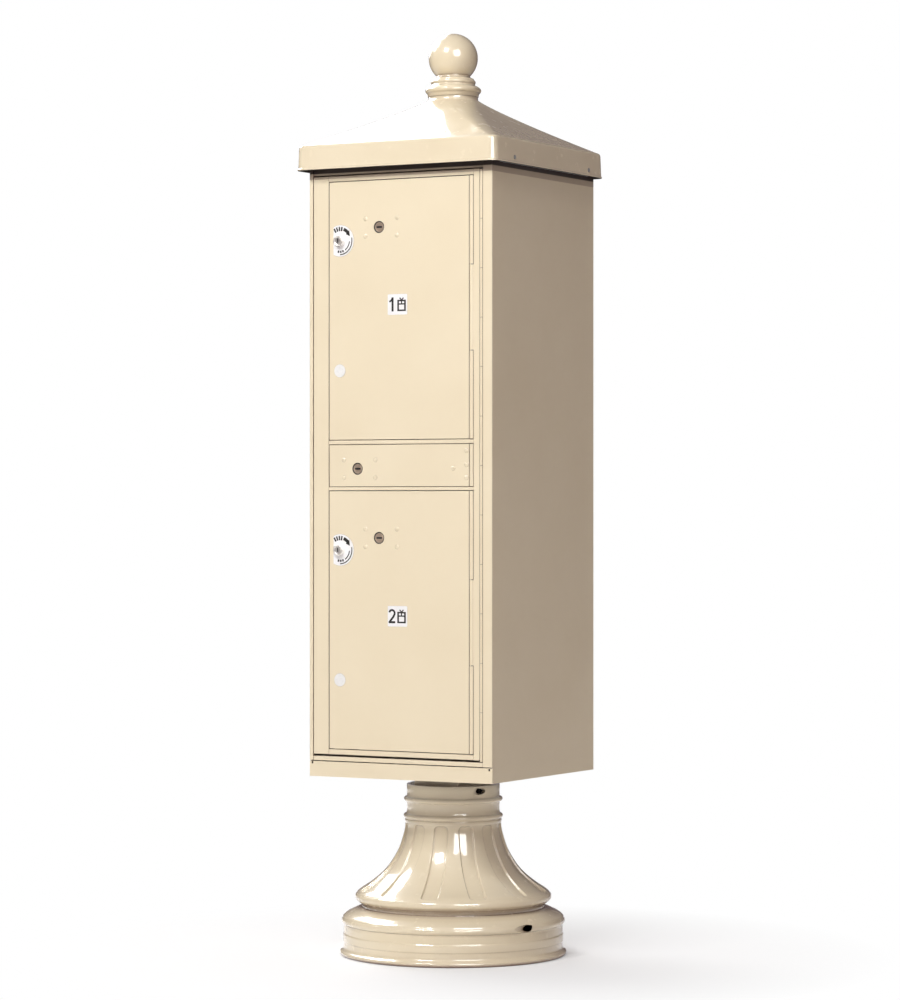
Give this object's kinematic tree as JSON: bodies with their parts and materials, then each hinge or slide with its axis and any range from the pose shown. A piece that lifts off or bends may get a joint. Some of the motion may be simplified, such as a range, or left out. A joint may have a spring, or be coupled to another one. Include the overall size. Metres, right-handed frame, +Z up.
{
  "type": "pedestal parcel locker",
  "caption": "Free-standing pedestal parcel locker with two stacked parcel doors in a master door, a hipped cap with a ball finial and a fluted pedestal cover.",
  "frame": {"origin": "pedestal axis at ground level, in the centre of the anchor bolt holes", "axes": "+Z up, +X to the right seen from the front, +Y to the back; the doors face -Y"},
  "size_m": [0.461, 0.4708, 1.871],
  "materials": {
    "cream_powder_coat": "satin powder coat",
    "cream_gloss_enamel": "high gloss enamel",
    "mill_aluminium": "mill finish sheet",
    "zinc_steel": "zinc plated",
    "black_steel": "black oxide",
    "nickel_lock": "satin nickel",
    "bright_nickel": "polished nickel",
    "white_plastic": "moulded, semi gloss",
    "white_print": "printed vinyl with black marks"
  },
  "bodies": {
    "cabinet": {"pedestal_base_plate": "zinc_steel", "pedestal_post": "cream_powder_coat", "pedestal_top_plate": "cream_powder_coat", "pedestal_bolts": "zinc_steel", "base_cover_bell": "cream_gloss_enamel", "base_cover_plinth": "cream_gloss_enamel", "base_cover_screws": "black_steel", "cabinet_floor": "mill_aluminium", "cabinet_side_left": "cream_powder_coat", "cabinet_side_right": "cream_powder_coat", "rear_panel": "cream_powder_coat", "top_panel": "mill_aluminium", "front_post_left": "cream_powder_coat", "front_post_right": "cream_powder_coat", "header_rail": "cream_powder_coat", "sill_rail": "cream_powder_coat", "front_skirt": "cream_powder_coat", "shelf_lower": "mill_aluminium", "lock_bay_floor": "mill_aluminium", "shelf_upper": "mill_aluminium", "shelf_brackets": "mill_aluminium", "cap_support_rails": "mill_aluminium", "roof_cap": "cream_gloss_enamel", "cap_screws": "zinc_steel", "finial": "cream_gloss_enamel", "finial_stud": "zinc_steel", "master_hinge_cabinet_leaf": "cream_powder_coat", "master_hinge_pin": "zinc_steel"},
    "master_door": {"master_hinge_door_leaf": "cream_powder_coat", "door_stile_left": "cream_powder_coat", "door_stile_right": "cream_powder_coat", "door_rail_top": "cream_powder_coat", "door_rail_upper_mid": "cream_powder_coat", "door_rail_lower_mid": "cream_powder_coat", "door_rail_bottom": "cream_powder_coat", "lock_panel": "cream_powder_coat", "lock_panel_studs": "zinc_steel", "master_lock_body": "nickel_lock", "latch_guides": "zinc_steel", "parcel_hinge_pin_upper": "zinc_steel", "parcel_hinge_pin_lower": "zinc_steel"},
    "master_latch": {"master_latch_bar": "zinc_steel"},
    "master_lock": {"master_lock_plug": "nickel_lock"},
    "upper_parcel_door": {"upper_door_panel": "cream_powder_coat", "upper_dial_ring": "white_print", "upper_tenant_lock_body": "bright_nickel", "upper_carrier_lock_body": "nickel_lock", "upper_hole_plug": "white_plastic", "upper_number_label": "white_print"},
    "upper_tenant_lock": {"upper_tenant_lock_plug": "nickel_lock"},
    "upper_carrier_lock": {"upper_carrier_lock_plug": "nickel_lock"},
    "lower_parcel_door": {"lower_door_panel": "cream_powder_coat", "lower_dial_ring": "white_print", "lower_tenant_lock_body": "bright_nickel", "lower_carrier_lock_body": "nickel_lock", "lower_hole_plug": "white_plastic", "lower_number_label": "white_print"},
    "lower_tenant_lock": {"lower_tenant_lock_plug": "nickel_lock"},
    "lower_carrier_lock": {"lower_carrier_lock_plug": "nickel_lock"}
  },
  "joints": [
    {"name": "master_door_swing", "type": "hinge", "parent": "cabinet", "child": "master_door", "pos_m": [0.1852, -0.212, 0.992], "axis": [0, 0, 1], "range_deg": [0, 100]},
    {"name": "master_lock_turn", "type": "hinge", "parent": "master_door", "child": "master_lock", "pos_m": [-0.098, -0.2, 0.985], "axis": [0, -1, 0], "range_deg": [0, 90]},
    {"name": "master_latch_slide", "type": "slide", "parent": "master_door", "child": "master_latch", "axis": [-1, 0, 0], "range_m": [0, 0.0064]},
    {"name": "upper_parcel_door_swing", "type": "hinge", "parent": "master_door", "child": "upper_parcel_door", "pos_m": [0.163, -0.211, 1.3009], "axis": [0, 0, 1], "range_deg": [0, 100]},
    {"name": "upper_tenant_lock_turn", "type": "hinge", "parent": "upper_parcel_door", "child": "upper_tenant_lock", "pos_m": [-0.138, -0.2, 1.4412], "axis": [0, -1, 0], "range_deg": [0, 90]},
    {"name": "upper_carrier_lock_turn", "type": "hinge", "parent": "upper_parcel_door", "child": "upper_carrier_lock", "pos_m": [-0.048, -0.2, 1.4656], "axis": [0, -1, 0], "range_deg": [0, 90]},
    {"name": "lower_parcel_door_swing", "type": "hinge", "parent": "master_door", "child": "lower_parcel_door", "pos_m": [0.163, -0.211, 0.6825], "axis": [0, 0, 1], "range_deg": [0, 100]},
    {"name": "lower_tenant_lock_turn", "type": "hinge", "parent": "lower_parcel_door", "child": "lower_tenant_lock", "pos_m": [-0.138, -0.2, 0.8228], "axis": [0, -1, 0], "range_deg": [0, 90]},
    {"name": "lower_carrier_lock_turn", "type": "hinge", "parent": "lower_parcel_door", "child": "lower_carrier_lock", "pos_m": [-0.048, -0.2, 0.8472], "axis": [0, -1, 0], "range_deg": [0, 90]}
  ],
  "couplings": [
    {"joint": "master_lock_turn", "follows": "master_latch_slide", "rad_per_m": 245.4}
  ]
}
